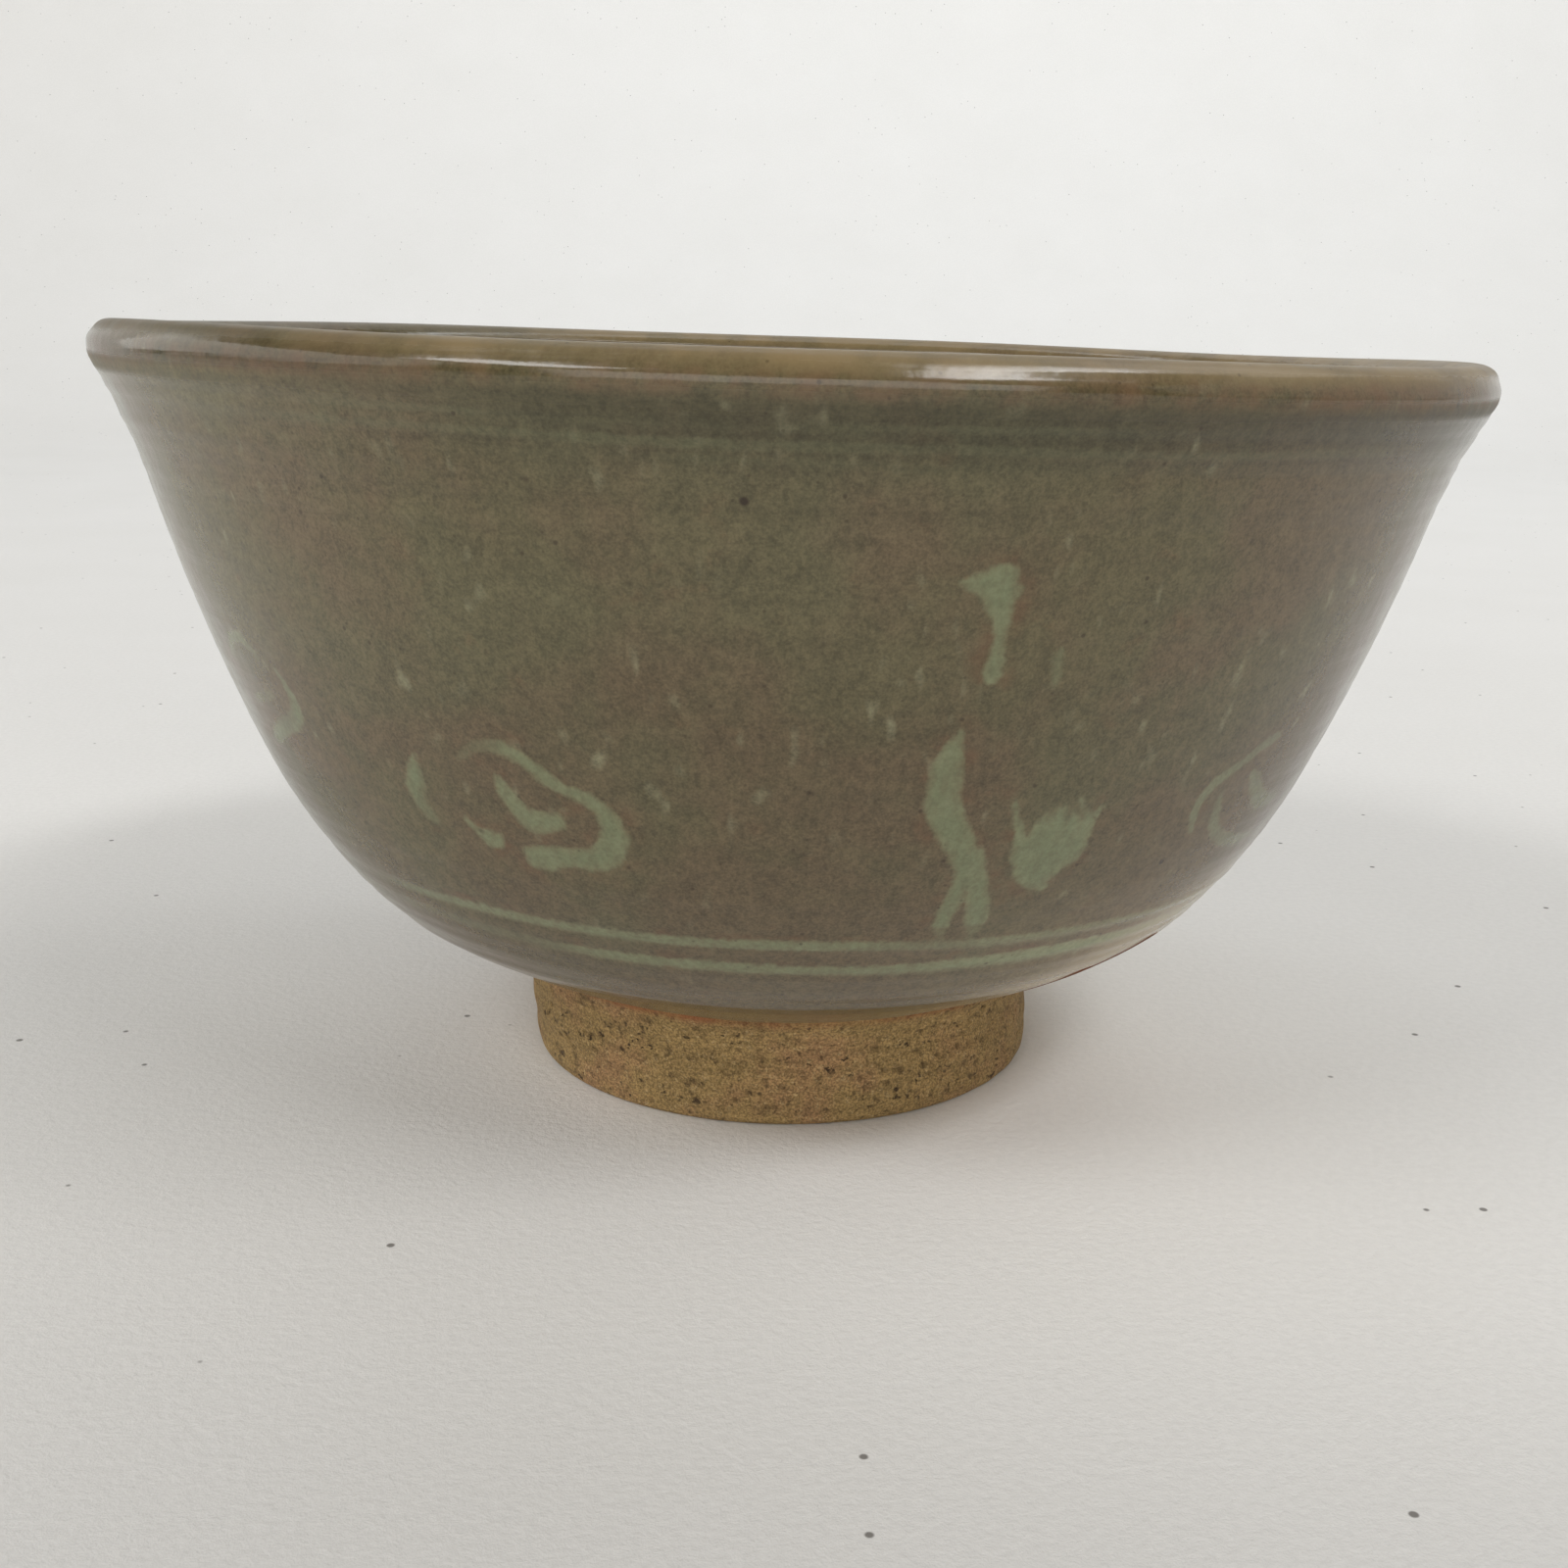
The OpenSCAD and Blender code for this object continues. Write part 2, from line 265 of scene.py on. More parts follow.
class Shader:
    """Builds a node material from short calls. Positions are in mm."""

    def __init__(self, name):
        self.material = bpy.data.materials.new(name)
        self.material.use_nodes = True
        self.nodes = self.material.node_tree.nodes
        self.links = self.material.node_tree.links
        self.principled = self.nodes["Principled BSDF"]
        coordinates = self.nodes.new("ShaderNodeTexCoord").outputs["Object"]
        self.place = self.vector_math("SCALE", coordinates, scale=MM)
        split = self.nodes.new("ShaderNodeSeparateXYZ")
        self.put(split.inputs[0], self.place)
        self.x, self.y, self.z = split.outputs

    def put(self, socket, value):
        """Links another node's output to a socket, or sets a number or colour on it."""
        if isinstance(value, bpy.types.NodeSocket):
            self.links.new(value, socket)
        elif value is not None:
            socket.default_value = value

    def vector_math(self, operation, a, b=None, scale=None):
        n = self.nodes.new("ShaderNodeVectorMath")
        n.operation = operation
        self.put(n.inputs[0], a)
        self.put(n.inputs[1], b)
        if scale is not None:
            self.put(n.inputs["Scale"], scale)
        return n.outputs[0]

    def math(self, operation, a, b):
        n = self.nodes.new("ShaderNodeMath")
        n.operation = operation
        for socket, value in zip(n.inputs, (a, b)):
            self.put(socket, value)
        return n.outputs[0]

    def add(self, a, b):
        return self.math("ADD", a, b)

    def times(self, a, b):
        return self.math("MULTIPLY", a, b)

    def value(self, name):
        """A number that the mesh carries at each vertex."""
        n = self.nodes.new("ShaderNodeAttribute")
        n.attribute_name = name
        return n.outputs["Fac"]

    def stretched(self, sx, sy, sz, shift=0.0):
        """The place scaled along each axis and moved, so that two patterns don't match."""
        n = self.nodes.new("ShaderNodeMapping")
        self.put(n.inputs["Vector"], self.place)
        n.inputs["Scale"].default_value = (sx, sy, sz)
        n.inputs["Location"].default_value = (shift, shift * 0.7, shift * 1.3)
        return n.outputs[0]

    def noise(self, size, detail=2.0, rough=0.5, place=None):
        """Noise with lumps of about a size in mm."""
        n = self.nodes.new("ShaderNodeTexNoise")
        self.put(n.inputs["Vector"], place or self.place)
        n.inputs["Scale"].default_value = 1 / size
        n.inputs["Detail"].default_value = detail
        n.inputs["Roughness"].default_value = rough
        return n.outputs["Fac"]

    def spots(self, size, place=None):
        """Voronoi cells: (distance to a cell's point in cells, a random number of the cell)."""
        n = self.nodes.new("ShaderNodeTexVoronoi")
        self.put(n.inputs["Vector"], place or self.place)
        n.inputs["Scale"].default_value = 1 / size
        split = self.nodes.new("ShaderNodeSeparateColor")
        self.links.new(n.outputs["Color"], split.inputs[0])
        return n.outputs["Distance"], split.outputs[0]

    def cloud_of(self, size, reach):
        """A random offset in mm, up to about reach, for bending another pattern."""
        n = self.nodes.new("ShaderNodeTexNoise")
        self.put(n.inputs["Vector"], self.place)
        n.inputs["Scale"].default_value = 1 / size
        n.inputs["Detail"].default_value = 2.0
        middle = self.vector_math("ADD", n.outputs["Color"], (-0.5, -0.5, -0.5))
        return self.vector_math("SCALE", middle, scale=reach)

    def span(self, value, a, b, low=0.0, high=1.0):
        """low where value is below a, high above b, smooth between."""
        n = self.nodes.new("ShaderNodeMapRange")
        n.interpolation_type = "SMOOTHSTEP"
        if a > b:
            a, b, low, high = b, a, high, low
        for socket, number in zip(n.inputs[:5], (value, a, b, low, high)):
            self.put(socket, number)
        return n.outputs[0]

    def mix(self, factor, a, b, mode="MIX"):
        n = self.nodes.new("ShaderNodeMix")
        n.data_type, n.blend_type = "RGBA", mode
        self.put(n.inputs[0], factor)
        self.put(n.inputs[6], a)
        self.put(n.inputs[7], b)
        return n.outputs[2]

    def brightness(self, colour, factor):
        """The colour times a number."""
        n = self.nodes.new("ShaderNodeCombineColor")
        for socket in n.inputs[:3]:
            self.put(socket, factor)
        return self.mix(1.0, colour, n.outputs[0], "MULTIPLY")

    def finish(self, colour, roughness, height, ior=1.5):
        """The finished material, with a fine relief from a height in mm."""
        self.put(self.principled.inputs["Base Color"], colour)
        self.put(self.principled.inputs["Roughness"], roughness)
        self.principled.inputs["IOR"].default_value = ior
        n = self.nodes.new("ShaderNodeBump")
        n.inputs["Strength"].default_value = 1.0
        n.inputs["Distance"].default_value = 1 / MM
        self.put(n.inputs["Height"], height)
        self.put(self.principled.inputs["Normal"], n.outputs[0])
        return self.material


OLIVE = srgb(93, 86, 62)
PINK_BROWN = srgb(96, 83, 62)
GREEN = srgb(90, 88, 64)
BURNT = srgb(108, 64, 38)
RIM_BROWN = srgb(136, 117, 84)
RED_BROWN = srgb(108, 78, 56)
AMBER = srgb(118, 92, 56)
FLASH = srgb(146, 78, 44)
FLECK = srgb(134, 131, 104)
SPECK = srgb(48, 36, 26)
SLIP_UNDER_GLAZE = srgb(115, 122, 92)
SLIP_THIN = srgb(117, 116, 87)
SLIP_PALE = srgb(124, 129, 98)
PALE_PINK = srgb(174, 160, 132)
CLAY = srgb(146, 121, 77)
CLAY_PALE = srgb(176, 152, 110)
CLAY_PINK = srgb(152, 116, 82)
CLAY_PIT_SHADE = srgb(54, 38, 24)


def slip_and_edge(m, colour, mottle, grain, reddish, painted_reflection_low_right):
    """Slip seen through the glaze, the glaze's thin and burnt edge at the foot, and a painted
    reflection of the floor low on the belly.
    """
    edge = m.value("slip_edge")
    kept = m.value("slip_kept")
    brush = m.noise(0.7, 3, 0.65, m.stretched(1, 1, 0.6, 5))
    frayed = m.add(edge, m.times(m.add(m.noise(1.0, 3, 0.65), -0.5), 0.9))
    halo = m.times(m.span(frayed, 1.6, 0.3), m.span(kept, 0.4, 0.9))
    colour = m.mix(m.times(halo, m.span(reddish, 0.45, 0.68, 0.0, 0.4)), colour, RED_BROWN)
    body = m.span(frayed, 0.2, -0.28)
    cover = m.times(kept, m.span(brush, 0.25, 0.6, 0.8, 1))
    slip = m.mix(m.span(frayed, 0.1, -0.9), SLIP_THIN, SLIP_UNDER_GLAZE)
    slip = m.mix(m.span(mottle, 0.4, 0.7, 0, 0.6), slip, SLIP_PALE)
    slip = m.brightness(slip, m.add(m.span(brush, 0.3, 0.7, 0.95, 1.05),
                                    m.span(grain, 0.3, 0.7, -0.09, 0.09)))
    # The painted reflection of the floor lightens the slip low on the right too
    slip = m.brightness(slip, m.add(1.0, painted_reflection_low_right))
    colour = m.mix(m.times(body, cover), colour, slip)

    thin = m.value("coat_edge")
    # Painted reflection of the floor: pale pink low on the belly near the glaze's edge, mostly on the
    # right
    painted_pale_reflection = m.times(m.span(thin, 14, 4), m.span(m.x, 4, 24, 0.12, 0.85))
    colour = m.mix(painted_pale_reflection, colour, PALE_PINK)
    bare = m.span(m.add(thin, m.times(mottle, 0.8)), 1.5, 0.7)
    colour = m.mix(m.times(bare, 0.8), colour, AMBER)
    return m.mix(m.span(m.add(thin, m.times(mottle, 0.6)), 0.75, 0.35), colour, FLASH)


def glaze_material(name, decorated):
    """The olive glaze. Azimuths and heights of its changes are given as x and z in mm."""
    m = Shader(name)
    blotch = m.noise(14, 3, 0.6, m.stretched(1, 1, 1, 3))
    patch = m.noise(22, 2, 0.5, m.stretched(1, 1, 1, 71))
    mottle = m.noise(2.2, 3, 0.6)
    cloudy = m.noise(1.0, 2, 0.6, m.stretched(1, 1, 0.7, 21))
    grain = m.noise(0.42, 2, 0.7)
    turning = m.noise(1.0, 2, 0.6, m.stretched(0.012, 0.012, 1.3))
    reddish = m.noise(3.6, 3, 0.6, m.stretched(1, 1, 1.3, 57))

    # The height above the table that a place would have if the bowl did not lean
    level = m.add(m.z, m.times(m.x, LEAN))

    lower = m.span(m.z, 46, 22, -0.05, 0.14)
    brown = m.add(m.add(blotch, m.times(mottle, 0.16)), m.add(lower, m.span(m.x, 12, 42, 0, 0.12)))
    colour = m.mix(m.span(brown, 0.46, 0.72), OLIVE, PINK_BROWN)
    green = m.times(m.span(patch, 0.5, 0.7), m.span(m.x, 15, 40, 0.35, 0.1))
    colour = m.mix(green, colour, GREEN)
    colour = m.mix(m.span(reddish, 0.6, 0.8, 0, 0.25), colour, RED_BROWN)
    under_rim = m.times(m.span(level, 63, 67), m.span(level, 69.4, 68))
    colour = m.mix(m.times(under_rim, 0.25), colour, GREEN)
    # Painted shade under the flared lip, deepest from the middle to the right, and painted light on
    # the left of the wall
    painted_shade_and_light = m.times(under_rim, m.span(m.x, -36, -8, -0.08, 0.3))
    painted_shade_and_light = m.add(painted_shade_and_light, m.span(m.x, -18, -48, 0, -0.14))
    colour = m.brightness(colour, m.math("SUBTRACT", 1.0, painted_shade_and_light))

    flecks = m.noise(1.5, 1, 0.5, m.stretched(1.0, 1.0, 0.42, 11))
    scattered = m.span(m.noise(9, 1, 0.5, m.stretched(1, 1, 1, 30)), 0.38, 0.6)
    higher = m.span(m.z, 26, 44, 0.4, 1)
    flecks = m.times(m.span(flecks, 0.6, 0.82), m.times(scattered, higher))
    colour = m.mix(m.times(flecks, 0.6), colour, FLECK)

    light = m.add(m.span(mottle, 0.3, 0.7, 0.91, 1.08), m.span(grain, 0.3, 0.7, -0.16, 0.16))
    light = m.add(light, m.span(cloudy, 0.3, 0.7, -0.1, 0.1))
    light = m.add(light, m.span(m.noise(0.2, 1, 0.5), 0.3, 0.7, -0.11, 0.11))
    lines = m.add(m.span(m.z, 52, 62), m.span(m.z, 30, 22))
    light = m.add(light, m.times(lines, m.span(turning, 0.35, 0.65, -0.05, 0.05)))
    upper = m.times(m.span(m.z, 44, 54), m.span(level, 66, 60))
    colour = m.brightness(colour, m.add(light, m.times(upper, 0.06)))

    # Painted reflection of the floor: lighter low on the belly towards the right
    painted_reflection_low_right = m.times(m.span(m.z, 32, 21), m.span(m.x, 6, 30, 0, 0.4))
    # Painted dark reflection: the lip's crest darker towards the left
    painted_dark_left_crest = m.times(m.span(level, 68.6, 69.6), m.span(m.x, -18, -42, 0, 0.35))
    colour = m.brightness(colour, m.add(1.0, m.add(painted_reflection_low_right, m.times(painted_dark_left_crest, -1.0))))

    crease = m.times(m.span(level, 67.4, 68.2), m.span(level, 69.4, 68.8))
    rough = m.add(m.span(mottle, 0.3, 0.75, 0.13, 0.2), m.span(level, 70.7, 71.5, 0, 0.25))
    rough = m.add(rough, m.times(crease, 0.3))

    if decorated:
        colour = slip_and_edge(m, colour, mottle, grain, reddish, painted_reflection_low_right)
        burnt = m.value("burnt")
        colour = m.mix(burnt, colour, BURNT)
        rough = m.add(rough, m.times(burnt, 0.5))
        m.put(m.principled.inputs["Specular IOR Level"], m.span(burnt, 0, 1, 0.5, 0.1))

    flush = m.times(m.span(level, 68.2, 69.2), m.span(level, 71, 70))
    colour = m.mix(m.times(flush, m.span(mottle, 0.3, 0.7, 0.0, 0.45)), colour, RED_BROWN)
    # A lighter brown band along the crest: the lip's own browner glaze, lightened as a painted
    # reflection of the bright ceiling, weaker to the left
    crest_brown_and_sheen = m.times(m.span(level, 69.6, 71.4), m.span(m.x, -45, -20, 0.25, 1))
    crest_patches = m.span(m.noise(6, 2, 0.6), 0.35, 0.6, 0.45, 0.85)
    colour = m.mix(m.times(crest_brown_and_sheen, crest_patches), colour, RIM_BROWN)

    # Dark specks of three sizes: cell, shift, share left out, radius in cells and strength
    for size, shift, share, wide, strength in (
            (7.0, 9, 0.5, 0.07, 0.9), (2.2, 40, 0.72, 0.11, 0.6), (1.1, 63, 0.75, 0.16, 0.4)):
        distance, chance = m.spots(size, m.stretched(1, 1, 1, shift))
        speck = m.times(m.span(distance, wide, wide * 0.4), m.span(chance, share, share + 0.01))
        colour = m.mix(m.times(speck, strength), colour, SPECK)

    height = m.add(m.times(m.noise(1.6, 2, 0.5), 0.03), m.times(grain, 0.0012))
    height = m.add(height, m.times(turning, 0.03))
    return m.finish(colour, rough, height)


def clay_material(name, ring):
    """Bare sandy clay, with painted shade in its pits and hollows. The ring's own pits and blushes
    come from its mesh.
    """
    m = Shader(name)
    patch = m.noise(7, 3, 0.6)
    fine = m.noise(0.5, 3, 0.7)
    coarse = m.noise(1.2, 4, 0.65)
    drag = m.noise(0.8, 3, 0.7, m.stretched(0.14, 0.14, 1.2, 8))
    colour = m.mix(m.span(patch, 0.45, 0.7, 0, 0.7), CLAY, CLAY_PINK)
    colour = m.mix(m.span(fine, 0.52, 0.72, 0, 0.75), colour, CLAY_PALE)
    colour = m.brightness(colour, m.span(drag, 0.3, 0.7, 0.85, 1.12))
    warped = m.vector_math("ADD", m.stretched(0.8, 0.8, 1.2, 2), m.cloud_of(0.6, 1.6))
    bands = m.span(m.noise(4, 2, 0.6, m.stretched(0.5, 0.5, 1.4, 19)), 0.42, 0.6)
    sand = m.noise(0.22, 2, 0.7)
    # Pits of two sizes: cell, share left out and radius in cells
    pits = 0
    for size, share, wide in ((1.9, 0.5, 0.23), (0.85, 0.55, 0.3)):
        distance, chance = m.spots(size, warped)
        hole = m.times(m.span(distance, wide, wide * 0.5), m.span(chance, share, share + 0.05))
        pits = m.math("MAXIMUM", pits, hole)
    pits = m.times(pits, bands)
    # Painted shade: the pits and the hollows of the relief are darker
    colour = m.mix(m.times(pits, 0.85), colour, CLAY_PIT_SHADE)
    hollows = m.span(coarse, 0.46, 0.32)
    colour = m.mix(m.times(hollows, 0.6), colour, CLAY_PIT_SHADE)
    colour = m.brightness(colour, m.span(sand, 0.3, 0.7, 0.56, 1.4))
    if ring:
        flush = m.value("flush")
        colour = m.mix(m.times(flush, m.span(patch, 0.35, 0.6, 0.3, 0.8)), colour, FLASH)
        # Painted shade in the mesh's pits, deeper pits darker
        deep = m.value("pit")
        colour = m.mix(m.times(deep, 0.7), colour, CLAY_PIT_SHADE)
    else:
        bare = m.value("coat_edge")
        flush = m.span(m.add(bare, m.times(patch, 3)), 4.5, 1.5, 0.12, 0.8)
        colour = m.mix(flush, colour, FLASH)
    height = m.add(m.times(fine, 0.14), m.times(drag, 0.14))
    height = m.add(height, m.times(coarse, 0.3))
    height = m.add(height, m.times(pits, -0.25))
    return m.finish(colour, m.span(fine, 0.3, 0.7, 0.8, 0.95), height, ior=1.45)


def slip_material(name, base, other):
    """Plain slip, which the glaze or the foot hides."""
    m = Shader(name)
    fine = m.noise(0.6, 3, 0.6)
    brushed = m.noise(1.5, 3, 0.6, m.stretched(1, 1, 0.4))
    colour = m.mix(m.span(brushed, 0.35, 0.65), base, other)
    colour = m.brightness(colour, m.span(fine, 0.3, 0.7, 0.9, 1.05))
    return m.finish(colour, m.span(fine, 0.3, 0.7, 0.7, 0.85), m.times(brushed, 0.05))


glazed = glaze_material("celadon_over_slip", True)
glazed_inside = glaze_material("celadon_inside", False)
bare_clay = clay_material("fired_clay", False)
ring_clay = clay_material("foot_clay", True)
white_slip = slip_material("white_slip", srgb(214, 210, 186), srgb(196, 196, 168))
joint_slip = slip_material("joint_slip", srgb(176, 128, 88), srgb(158, 98, 62))


# ---- The outer glaze, over slip and clay ----

azimuth = columns_round(96, 0.5, 0.9)
degrees = np.degrees(azimuth)
degrees = np.where(degrees > 180, degrees - 360, degrees)

edge_waves = waves(6, 5, 17, 0.28)
retreat = 14 * smooth(degrees, 10, 62) * smooth(degrees, 86, 66)
burnt_width = 3.2 * smooth(degrees, 20, 34) * smooth(degrees, 61, 52)
edge_r = EDGE_R + wavy(edge_waves, azimuth) + retreat
under = outside.s > outside.find(1, 34)
edge_s = np.interp(-edge_r, -outside.rows[under, 0], outside.s[under])

wall_s = outside.find(1, 27)
fixed = spaced((0, LIP_S, 22), (LIP_S, wall_s, 102))
part_way = np.linspace(0, 1, 44) ** 0.9
row_s = np.concatenate([np.repeat(fixed[:, None], len(azimuth), 1),
                        wall_s + (edge_s - wall_s)[None, :] * part_way[:, None]])
to_edge = edge_s[None, :] - row_s

ring_rows = [(2.1, 0.3), (3.3, 1.9), (4.6, 4.2), (6.8, 0.9), (1.35, 2.6)]


def turning_rings(z, azimuth):
    """The faint ridges that fingers and the rib leave, which climb as the wheel turns."""
    out = 0
    for pitch, phase in ring_rows:
        out = out + np.sin(2 * math.pi * z / pitch + phase + azimuth + 0.4 * np.sin(2 * azimuth))
    strong = 0.35 + 0.9 * smooth(z, 54, 66) + 0.8 * smooth(z, 32, 22)
    return out / len(ring_rows) * strong


LINES = ("rim_line_1", "rim_line_2", "rim_line_3", "base_line_upper", "base_line_lower")
RIM_LINES_FROM = 62
BASE_LINES_TO = 27

row_x, row_z = outside.at(row_s)
thick = GLAZE_T * np.sqrt(1 - (1 - np.clip(to_edge / 1.1, 0, 1)) ** 2)
ripple = 0.09 * turning_rings(row_z, azimuth[None, :]) * smooth(to_edge, 0.5, 3) * smooth(row_s, 0, 4)
depth = GLAZE_T - thick - ripple
coat_r, coat_z = outside.at(row_s, depth)
back_s = edge_s[None, :] * np.linspace(1, 0, 8)[1:, None]
back_r, back_z = outside.at(back_s, GLAZE_T)
outer_coat = lathe("outer_glaze_coat", azimuth,
                   np.concatenate([coat_r, back_r]), np.concatenate([coat_z, back_z]),
                   None, ["outer_glaze"], glazed)


def line_distance(name, height, turn_angle):
    """Distance to a brushed line's edge. On the front's right the base lines close up."""
    line = node_points(name)
    middle, half = (line[:, 2].max() + line[:, 2].min()) / 2, np.ptp(line[:, 2]) / 2
    drift = 0.14 * np.sin(3 * turn_angle + middle) + 0.08 * np.sin(11 * turn_angle + 2 * middle)
    front_right = smooth(np.degrees(turn_angle), 6, 30)
    if name == "base_line_upper":
        drift = drift - 0.45 * front_right
    if name == "base_line_lower":
        drift = drift - 0.15 * front_right
        half = half + 0.3 * front_right
    return np.abs(height - middle - drift) - half


def slip_distance(r, z, azimuth):
    """Distance in mm from each point to the edge of the slip, less than nothing inside it."""
    across = turned(azimuth, r, z).reshape(-1, 3)
    reach = 3.0
    best = np.full(len(across), reach)
    turn_angle = np.arctan2(across[:, 0], -across[:, 1])
    for name in LINES:
        best = np.minimum(best, line_distance(name, across[:, 2], turn_angle))
    for name in sorted(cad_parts):
        if not name.startswith(("cloud_", "crane_")):
            continue
        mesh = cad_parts[name].data
        points = node_points(name)
        mesh.calc_loop_triangles()
        tris = [tuple(t.vertices) for t in mesh.loop_triangles]
        whole = BVHTree.FromPolygons(points.tolist(), tris)
        corner = points[np.array(tris)]
        normal = np.cross(corner[:, 1] - corner[:, 0], corner[:, 2] - corner[:, 0])
        middle = points.mean(0)
        away = np.array([middle[0], middle[1], 0]) / np.hypot(middle[0], middle[1])
        side = np.abs(normal @ away) < 0.45 * np.linalg.norm(normal, axis=1)
        sides = BVHTree.FromPolygons(points.tolist(), [t for t, s in zip(tris, side) if s])
        near = np.all((across > points.min(0) - reach) & (across < points.max(0) + reach), 1)
        for k in np.nonzero(near)[0]:
            spot = Vector(across[k])
            found = sides.find_nearest(spot, reach)
            if found[0] is None:
                continue
            hit = whole.ray_cast(spot, Vector(away), 4.0)
            within = hit[0] is not None and hit[1].dot(Vector(away)) > 0
            best[k] = min(best[k], -found[3] if within else found[3])
    return best


mid_r, mid_z = outside.at(row_s, GLAZE_T + SLIP_T / 2)
set_values(outer_coat, "slip_edge", slip_distance(mid_r, mid_z, azimuth[None, :]))

# Where the slip is worn or washed out, and the slits between a wing's feathers:
# azimuth, height, reach across and up in mm, and how much is kept
WHOLE = 0.88
WORN = [
    (-27, 41.5, 4, 4, 0.35),
    (-31, 35, 2.5, 2.5, 0.4),
    (-52, 42.5, 4, 4, 0.4),
    (49, 36, 9, 9, 0.62),
    (18.5, 49.8, 2.5, 2.5, 0.5),
    (24, 40, 3.5, 2.5, 0.7),
    (14, 41, 2, 2, 0.7),
    (21.0, 38.4, 0.5, 2.2, 0.2),
    (22.7, 38.8, 0.42, 2.4, 0.3),
    (24.4, 38.6, 0.42, 2.4, 0.25),
    (26.1, 39.0, 0.5, 2.0, 0.2),
]
kept = np.full(row_z.shape, WHOLE)
arc = degrees[None, :]
for at, height, wide, tall, keep in WORN:
    away = np.hypot(np.radians(arc - at) * row_x / wide, (row_z - height) / tall)
    kept = kept - (WHOLE - keep) * smooth(away, 1.3, 0.5)
kept = np.maximum(kept, 0.1)
# Where a line shows more: height, reach up and down, start and end azimuth, and how much more
FAINT = [
    (67.4, 0.8, -30, -18, 0.16), (67.4, 0.8, 3, 19, 0.16),
    (65.9, 0.8, -38, 44, 0.16), (65.9, 0.8, -16, 2, 0.1), (64.6, 0.6, -8, 8, 0.08),
    (67.4, 0.8, 90, 150, 0.25), (65.9, 0.8, 120, 200, 0.3), (65.9, 0.8, -140, -80, 0.25),
    (25.8, 1.2, -44, 11, 0.64), (25.8, 1.2, 11, 60, 0.2), (25.4, 1.2, 18, 30, 0.2),
    (23.2, 1.2, -23, 62, 0.64), (25.8, 1.2, 80, 170, 0.45), (23.2, 1.2, 100, 230, 0.45),
    (25.8, 1.2, -150, -60, 0.4), (23.2, 1.2, -170, -110, 0.3)
]
on_line = np.where(row_z > RIM_LINES_FROM, 0.05, 0.32) + 0 * arc
for height, reach, start, end, more in FAINT:
    from_middle = np.abs((arc - (start + end) / 2 + 180) % 360 - 180)
    inside_arc = smooth(from_middle, (end - start) / 2 + 5, (end - start) / 2 - 5)
    on_line = on_line + more * inside_arc * smooth(np.abs(row_z - height), reach, reach * 0.6)
kept = np.where((row_z > RIM_LINES_FROM) | (row_z < BASE_LINES_TO), on_line, kept)
set_values(outer_coat, "slip_kept", kept.reshape(-1))
coat_values = np.concatenate([to_edge, np.zeros_like(back_s)]).reshape(-1)
set_values(outer_coat, "coat_edge", coat_values)
burnt = smooth(to_edge, burnt_width[None, :] + 0.01, 0.75 * burnt_width[None, :])
set_values(outer_coat, "burnt", burnt.reshape(-1))

# ---- The inner glaze, with the faint ridges of the throwing ----

inner_azimuth = columns_round(180, 1.0, 1.0)
inner_s = spaced((0, 6, 14), (6, inside.length - POLE_GAP, 118))
ix, iz = inside.at(inner_s)
ripple = 0.1 * turning_rings(iz[:, None], inner_azimuth[None, :]) * smooth(inner_s, 2, 8)[:, None]
top_r, top_z = inside.at(inner_s[:, None], -ripple * smooth(ix, 1, 8)[:, None])
low_s = np.linspace(0, inside.length - POLE_GAP, 24)[:, None] + 0 * inner_azimuth[None, :]
low_r, low_z = inside.at(low_s, GLAZE_T)
floor_z = inside.rows[-1, 1]
lathe("inner_glaze_coat", inner_azimuth,
      np.concatenate([top_r[::-1], low_r]), np.concatenate([top_z[::-1], low_z]),
      (floor_z, floor_z - GLAZE_T), ["inner_glaze"], glazed_inside)

# ---- The clay, bare round the foot and in its recess ----

body_azimuth = columns_round(96, 0.75, 1.0)
in_s = np.linspace(inside.length - POLE_GAP, 0.0, 30)
out_s = spaced((0, outside.find(1, 20), 40), (outside.find(1, 20), outside.length - POLE_GAP, 70))
spread = 0 * body_azimuth[None, :]
r_in, z_in = inside.at(in_s[:, None] + spread, GLAZE_T)
r_out, z_out = outside.at(out_s[:, None] + spread, GLAZE_T)
bottom_z = outside.rows[-1, 1]
clay = lathe("clay_bowl", body_azimuth,
             np.concatenate([r_in, r_out]), np.concatenate([z_in, z_out]),
             (floor_z - GLAZE_T, bottom_z + GLAZE_T), ["clay_body"], bare_clay)
body_edge = np.interp(body_azimuth % (2 * math.pi), np.sort(azimuth % (2 * math.pi)),
                      edge_s[np.argsort(azimuth % (2 * math.pi))])
bare = np.abs(out_s[:, None] - body_edge[None, :])
set_values(clay, "coat_edge", np.concatenate([np.zeros_like(r_in), bare]).reshape(-1))

# ---- The foot ring ----

def carried_on(rows, lean, top=14):
    """A foot line whose end goes straight on, up into the bowl's wall."""
    last = rows[-1:].copy()
    last[:, 0] += (top - last[0, 1]) * math.tan(math.radians(lean))
    last[:, 1] = top
    return np.concatenate([rows, last])


foot_side = [(FOOT_CORNER, 84), (30, 95), (8, 66)]
foot_outside = carried_on(trace((FOOT_R - FOOT_CORNER, 0), 0, foot_side, -1), 24)
foot_inside = carried_on(trace((FOOT_HOLLOW_R, 0), 180, [(FOOT_CORNER, 98)], 1), -8)

under_x, under_z = outside.at(outside.s, GLAZE_T - JOINT_T)
low_side = outside.s > outside.find(1, 30)
under_x, under_z = under_x[low_side], under_z[low_side]


